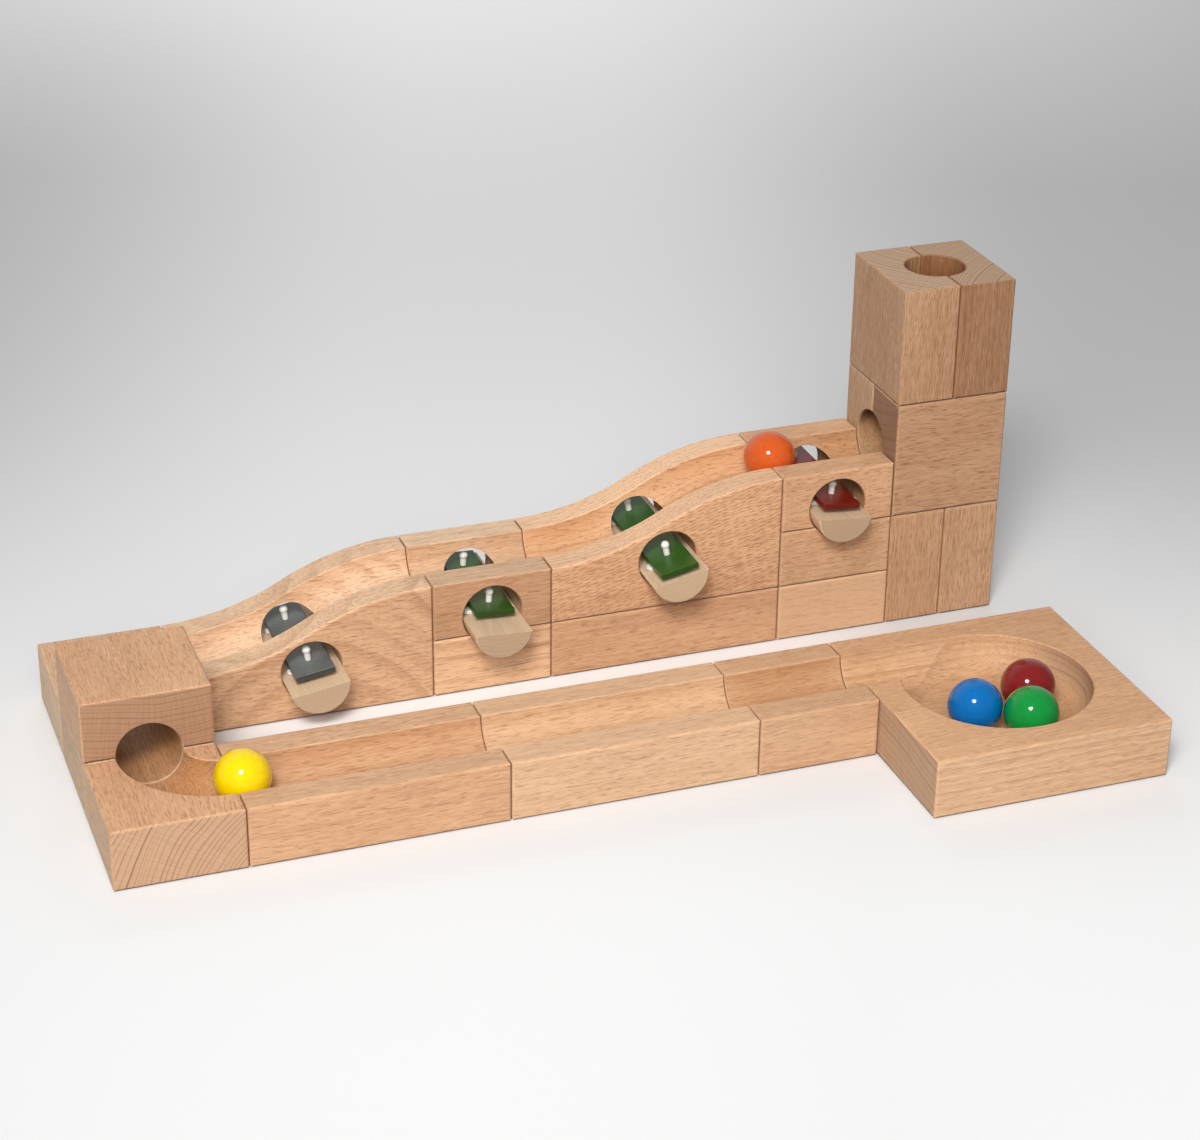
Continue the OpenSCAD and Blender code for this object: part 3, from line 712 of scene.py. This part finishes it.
# a strip with round ends: a grid wrapped round its section and round its pin hole
def makeStrip(tree, given):
    around, section = feltSet["aroundSteps"], feltSet["sectionSteps"]
    outline = addNode(tree, "GeometryNodeCurvePrimitiveQuadrilateral",
                      Width=given["Length"], Height=given["Width"])
    fillet = tree.nodes.new("GeometryNodeFilletCurve")
    fillet.mode = "POLY"
    wire(tree, fillet.inputs["Curve"], outline.outputs[0])
    fillet.inputs["Count"].default_value = feltSet["endSteps"]
    wire(tree, fillet.inputs["Radius"], times(tree, given["Width"], feltSet["endRound"]))
    grid = addNode(tree, "GeometryNodeMeshGrid", Vertices_X=around + 1, Vertices_Y=section + 1)
    index = tree.nodes.new("GeometryNodeInputIndex").outputs[0]
    column = doMath(tree, "FLOOR", doMath(tree, "DIVIDE", index, section + 1.0))
    row = doMath(tree, "SUBTRACT", index, times(tree, column, section + 1.0))
    sample = tree.nodes.new("GeometryNodeSampleCurve")
    sample.mode = "FACTOR"
    sample.use_all_curves = True
    wire(tree, sample.inputs["Curves"], fillet.outputs[0])
    wire(tree, sample.inputs["Factor"], doMath(tree, "DIVIDE", column, float(around)))
    outer = sample.outputs["Position"]
    inner = scaleVector(tree, doVector(tree, "NORMALIZE", outer), times(tree, given["Hole"], 0.5))
    angle = times(tree, row, 2 * math.pi / section)
    out = doMath(tree, "MULTIPLY_ADD", fullWave(tree, "COSINE", angle), 0.5, 0.5)
    lift = doMath(tree, "MULTIPLY_ADD", fullWave(tree, "SINE", angle), 0.5, 0.5)
    wall = doVector(tree, "SUBTRACT", outer, inner)
    spread = doVector(tree, "ADD", inner, scaleVector(tree, wall, out))
    rise = combine(tree, 0.0, 0.0, times(tree, given["Thickness"], lift))
    placed = addNode(tree, "GeometryNodeSetPosition", Geometry=grid.outputs["Mesh"])
    wire(tree, placed.inputs["Position"], doVector(tree, "ADD", spread, rise))
    closed = addNode(tree, "GeometryNodeMergeByDistance", Geometry=placed.outputs[0])
    closed.inputs["Distance"].default_value = feltSet["weld"]
    return closed.outputs[0]


# short fibres that stand out of the strips' sides, each leaning its own way
def makeFibreCoat(tree, given, strips, normal):
    slope = doMath(tree, "ABSOLUTE", split(tree, normal)[2])
    upright = doMath(tree, "LESS_THAN", slope, feltSet["sideFacing"])
    points = addNode(tree, "GeometryNodeDistributePointsOnFaces", Mesh=strips, Selection=upright,
                     Density=given["Fibre count"], Seed=given["Seed"])
    tip = combine(tree, 0.0, 0.0, given["Fibre length"])
    hair = addNode(tree, "GeometryNodeCurvePrimitiveLine", End=tip)
    hairRing = addNode(tree, "GeometryNodeCurvePrimitiveCircle",
                       Resolution=feltSet["fibreSides"], Radius=feltSet["fibreRadius"])
    tube = addNode(tree, "GeometryNodeCurveToMesh", Curve=hair.outputs[0], Profile_Curve=hairRing.outputs[0])
    tube.inputs["Fill Caps"].default_value = True
    stood = addNode(tree, "GeometryNodeInstanceOnPoints", Points=points.outputs["Points"],
                    Instance=tube.outputs[0], Rotation=points.outputs["Rotation"])
    lean = tree.nodes.new("FunctionNodeRandomValue")
    lean.data_type = "FLOAT_VECTOR"
    lean.inputs["Min"].default_value = (-feltSet["lean"], -feltSet["lean"], 0)
    lean.inputs["Max"].default_value = (feltSet["lean"], feltSet["lean"], feltSet["spin"])
    wire(tree, lean.inputs["Seed"], given["Seed"])
    leaned = addNode(tree, "GeometryNodeRotateInstances", Instances=stood.outputs[0],
                     Rotation=lean.outputs[0])
    return leaned.outputs[0]


def makeFeltTree():
    tree = bpy.data.node_groups.new("feltStrips", "GeometryNodeTree")
    sockets = tree.interface
    sizes = ("Length", "Width", "Thickness", "Hole", "Base", "Front place", "Rear place", "Nap")
    for name in sizes + ("Fibre length", "Fibre count"):
        sockets.new_socket(name, in_out="INPUT", socket_type="NodeSocketFloat")
    sockets.new_socket("Seed", in_out="INPUT", socket_type="NodeSocketInt")
    sockets.new_socket("Cloth", in_out="INPUT", socket_type="NodeSocketMaterial")
    sockets.new_socket("Geometry", in_out="OUTPUT", socket_type="NodeSocketGeometry")
    given = tree.nodes.new("NodeGroupInput").outputs
    strip = makeStrip(tree, given)
    join = tree.nodes.new("GeometryNodeJoinGeometry")
    for name in ("Front place", "Rear place"):
        move = combine(tree, 0.0, times(tree, given[name], -1.0), given["Base"])
        copy = addNode(tree, "GeometryNodeTransform", Geometry=strip, Translation=move)
        tree.links.new(copy.outputs[0], join.inputs[0])

    # the nap sinks a little below the cut size, then the fibres are set on it
    position = tree.nodes.new("GeometryNodeInputPosition").outputs[0]
    normal = tree.nodes.new("GeometryNodeInputNormal").outputs[0]
    nap = makeNoise(tree, position, feltSet["napGrain"], detail=3.0, rough=0.6)
    dent = times(tree, doMath(tree, "SUBTRACT", nap, 1.0), given["Nap"])
    sunk = scaleVector(tree, normal, dent)
    napped = addNode(tree, "GeometryNodeSetPosition", Geometry=join.outputs[0], Offset=sunk)
    smooth = addNode(tree, "GeometryNodeSetShadeSmooth", Geometry=napped.outputs[0])
    whole = tree.nodes.new("GeometryNodeJoinGeometry")
    tree.links.new(makeFibreCoat(tree, given, smooth.outputs[0], normal), whole.inputs[0])
    tree.links.new(smooth.outputs[0], whole.inputs[0])
    real = addNode(tree, "GeometryNodeRealizeInstances", Geometry=whole.outputs[0])
    cloth = addNode(tree, "GeometryNodeSetMaterial", Geometry=real.outputs[0], Material=given["Cloth"])
    result = tree.nodes.new("NodeGroupOutput")
    wire(tree, result.inputs["Geometry"], cloth.outputs[0])
    return tree


def makeFelts(name, chime, tree, material):
    seed = bpy.data.objects.new("feltSeed", bpy.data.meshes.new("feltSeed"))
    bpy.context.scene.collection.objects.link(seed)
    modifier = seed.modifiers.new("feltStrips", "NODES")
    modifier.node_group = tree
    rearPin, frontPin = chime["pins"]
    values = dict(feltSet)
    values.update({"Rear place": rearPin * millimetre, "Front place": frontPin * millimetre})
    values.update({"Cloth": material, "Length": chime["felt"]})
    for item in tree.interface.items_tree:
        if item.in_out == "INPUT":
            modifier[item.identifier] = values[item.name]
    bpy.context.view_layer.update()
    mesh = bpy.data.meshes.new_from_object(seed.evaluated_get(bpy.context.evaluated_depsgraph_get()))
    bpy.data.objects.remove(seed)
    holeX, holeZ = chime["hole"]
    hole = Vector((holeX * millimetre, feltSet["rearFace"], holeZ * millimetre))
    mesh.transform(Matrix.Translation(hole) @ Matrix.Rotation(math.radians(-chime["tilt"]), 4, "Y"))
    mesh.name = name + "_felt_strips"
    piece = bpy.data.objects.new(name + "_felt_strips", mesh)
    bpy.context.scene.collection.objects.link(piece)
    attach(piece, name + "_chime")
    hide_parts(name + "_felts")
    return len(mesh.polygons)


feltTree = makeFeltTree()
feltCloth = makeFeltCloth()
feltFaces = sum(makeFelts(name, chime, feltTree, feltCloth) for name, chime in chimeSet.items())
print("felt strips made, faces", feltFaces)

# lacquered marbles, the turned ball's rings just showing through the colour
marbleSet = {
    "yellow": {"color": (0.95, 0.66, 0.0, 1), "dark": (0.80, 0.49, 0.0, 1)},
    "orange": {"color": (0.69, 0.110, 0.016, 1), "dark": (0.53, 0.068, 0.008, 1)},
    "blue": {"color": (0.0, 0.150, 0.45, 1), "dark": (0.0, 0.105, 0.35, 1)},
    "green": {"color": (0.004, 0.28, 0.045, 1), "dark": (0.003, 0.20, 0.030, 1)},
    "red": {"color": (0.24, 0.011, 0.011, 1), "dark": (0.16, 0.007, 0.007, 1)},
}
lacquerSet = {
    "turn": (0.5, 0.3, 0.9), "fibre": (0.05, 0.5, 0.9), "fibreSpan": (0.4, 0.8), "fibreDepth": 0.55,
    "peel": 0.5, "rough": (0.08, 0.13), "bump": (0.06, 0.0001), "coat": 0.3, "coatRough": 0.05,
}


def makeLacquer(name, marble, middle):
    material, tree, shader, given = newMaterial("lacquer_" + name)
    place = seenFrom(tree, given["Object"], lacquerSet["turn"], middle, millimetre)
    fibre = makeFibres(tree, place, lacquerSet["fibre"], detail=3.0, rough=0.55)
    peel = makeNoise(tree, place, lacquerSet["peel"], detail=2.0, rough=0.5)
    rings = makeRange(tree, fibre, *lacquerSet["fibreSpan"], 0.0, lacquerSet["fibreDepth"])
    wire(tree, shader.inputs["Base Color"], mixColor(tree, rings, marble["color"], marble["dark"]))
    wire(tree, shader.inputs["Roughness"], fromNoise(tree, peel, *lacquerSet["rough"]))
    makeBump(tree, shader, peel, *lacquerSet["bump"])
    shader.inputs["Coat Weight"].default_value = lacquerSet["coat"]
    shader.inputs["Coat Roughness"].default_value = lacquerSet["coatRough"]
    return material


for name, marble in marbleSet.items():
    low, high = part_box("marble_" + name)
    dress(nodes["marble_" + name], makeLacquer(name, marble, (low + high) / 2))
print("marbles dressed,", len(marbleSet))

# pale studio floor, two lights from the front left, a soft glow on the floor behind and a plain world;
# the greys the camera sees on the floor are painted light and shade; a pair of lengths says where one grey
# turns into the next
stageSet = {
    "near": (0.66, 0.66, 0.66, 1), "front": (0.79, 0.79, 0.79, 1), "back": (0.86, 0.86, 0.865, 1),
    "edge": (0.63, 0.63, 0.635, 1), "right": (0.92, 0.92, 0.92, 1), "strip": (0.95, 0.95, 0.95, 1),
    "bounce": (0.6, 0.6, 0.6, 1), "reach": 6.0, "nearSpan": (-0.45, -0.15), "backSpan": (-0.05, 0.4),
    "rightSpan": (0.12, 0.5), "edgeSpan": (0.05, 0.4), "edgeFade": (0.8, 1.3), "edgeShift": 0.07,
    "farEdge": 0.2, "stripFront": (-0.03, 0.0), "stripBack": (0.06, 0.09), "stripEnds": (0.12, 0.2),
    "stripShift": 0.01, "rough": 0.9, "gloss": 0.1,
}
lightSet = {
    "keyLight": {
        "place": (-0.53, -1.03, 1.24), "aim": (-0.05, -0.15, 0.0), "size": 0.42, "spread": 85.0,
        "power": 3.0, "mirrored": True,
    },
    "softLight": {
        "place": (-0.65, -1.34, 1.11), "aim": (-0.05, -0.15, 0.0), "size": 1.4, "spread": 100.0,
        "power": 8.7, "mirrored": False,
    },
    "backLight": {
        "place": (0.4, 1.8, 1.5), "aim": (0.32, 1.33, 0.0), "size": 0.6, "spread": 86.0, "power": 3.2,
        "mirrored": False,
    },
}
worldSet = {"front": 0.18, "back": 0.62, "span": (0.1, 0.9)}


def makeFloor():
    reach = stageSet["reach"]
    corners = [(-reach, -reach, 0), (reach, -reach, 0), (reach, reach, 0), (-reach, reach, 0)]
    mesh = bpy.data.meshes.new("floor")
    mesh.from_pydata(corners, [], [(0, 1, 2, 3)])
    floor = bpy.data.objects.new("floor", mesh)
    bpy.context.scene.collection.objects.link(floor)
    material, tree, shader, given = newMaterial("floorPaper")
    # painted light and shade for the camera: darker nearest the camera and at the sides behind, brighter to
    # the front right and behind
    turn = (0, 0, math.radians(cameraSet["azimuth"]))
    across, deep, _ = split(tree, seenFrom(tree, given["Object"], turn))
    fromMiddle = doMath(tree, "ABSOLUTE", doMath(tree, "ADD", across, stageSet["edgeShift"]))
    edge = makeRange(tree, fromMiddle, *stageSet["edgeSpan"], smooth=True)
    edge = times(tree, edge, makeRange(tree, deep, *stageSet["edgeFade"], 1.0, stageSet["farEdge"]))
    behind = mixColor(tree, edge, stageSet["back"], stageSet["edge"])
    near = makeRange(tree, deep, *stageSet["nearSpan"])
    ahead = mixColor(tree, near, stageSet["near"], stageSet["front"])
    ahead = mixColor(tree, makeRange(tree, across, *stageSet["rightSpan"]), ahead, stageSet["right"])
    seen = mixColor(tree, makeRange(tree, deep, *stageSet["backSpan"], smooth=True), ahead, behind)

    # painted light: the strip between the rows, where the rows shade the floor, is painted as bright as the
    # open floor
    alongRow, acrossRow, _ = split(tree, given["Object"])
    fromStrip = doMath(tree, "ABSOLUTE", doMath(tree, "ADD", alongRow, stageSet["stripShift"]))
    ends = makeRange(tree, fromStrip, *stageSet["stripEnds"], 1.0, 0.0, smooth=True)
    strip = times(tree, makeHump(tree, acrossRow, stageSet["stripFront"], stageSet["stripBack"]), ends)
    seen = mixColor(tree, strip, seen, stageSet["strip"])
    path = tree.nodes.new("ShaderNodeLightPath")
    color = mixColor(tree, path.outputs["Is Camera Ray"], stageSet["bounce"], seen)
    wire(tree, shader.inputs["Base Color"], color)
    shader.inputs["Roughness"].default_value = stageSet["rough"]
    shader.inputs["Specular IOR Level"].default_value = stageSet["gloss"]
    dress(floor, material)


def makeLight(name, lamp):
    data = bpy.data.lights.new(name, "AREA")
    data.shape = "DISK"
    data.size = lamp["size"]
    data.spread = math.radians(lamp["spread"])
    data.energy = lamp["power"]
    light = bpy.data.objects.new(name, data)
    light.location = lamp["place"]
    light.rotation_euler = (Vector(lamp["aim"]) - Vector(lamp["place"])).to_track_quat("-Z", "Y").to_euler()
    light.visible_glossy = lamp["mirrored"]
    bpy.context.scene.collection.objects.link(light)


def makeWorld():
    world = bpy.data.worlds.new("studio")
    bpy.context.scene.world = world
    world.use_nodes = True
    tree = world.node_tree
    background = tree.nodes["Background"]
    background.inputs["Color"].default_value = (1, 1, 1, 1)
    way = split(tree, tree.nodes.new("ShaderNodeTexCoord").outputs["Generated"])
    glow = makeRange(tree, way[1], *worldSet["span"], worldSet["front"], worldSet["back"], smooth=True)
    wire(tree, background.inputs["Strength"], glow)


makeFloor()
for name, lamp in lightSet.items():
    makeLight(name, lamp)
makeWorld()
bpy.context.scene.view_settings.view_transform = "Standard"
print("stage and lights set")
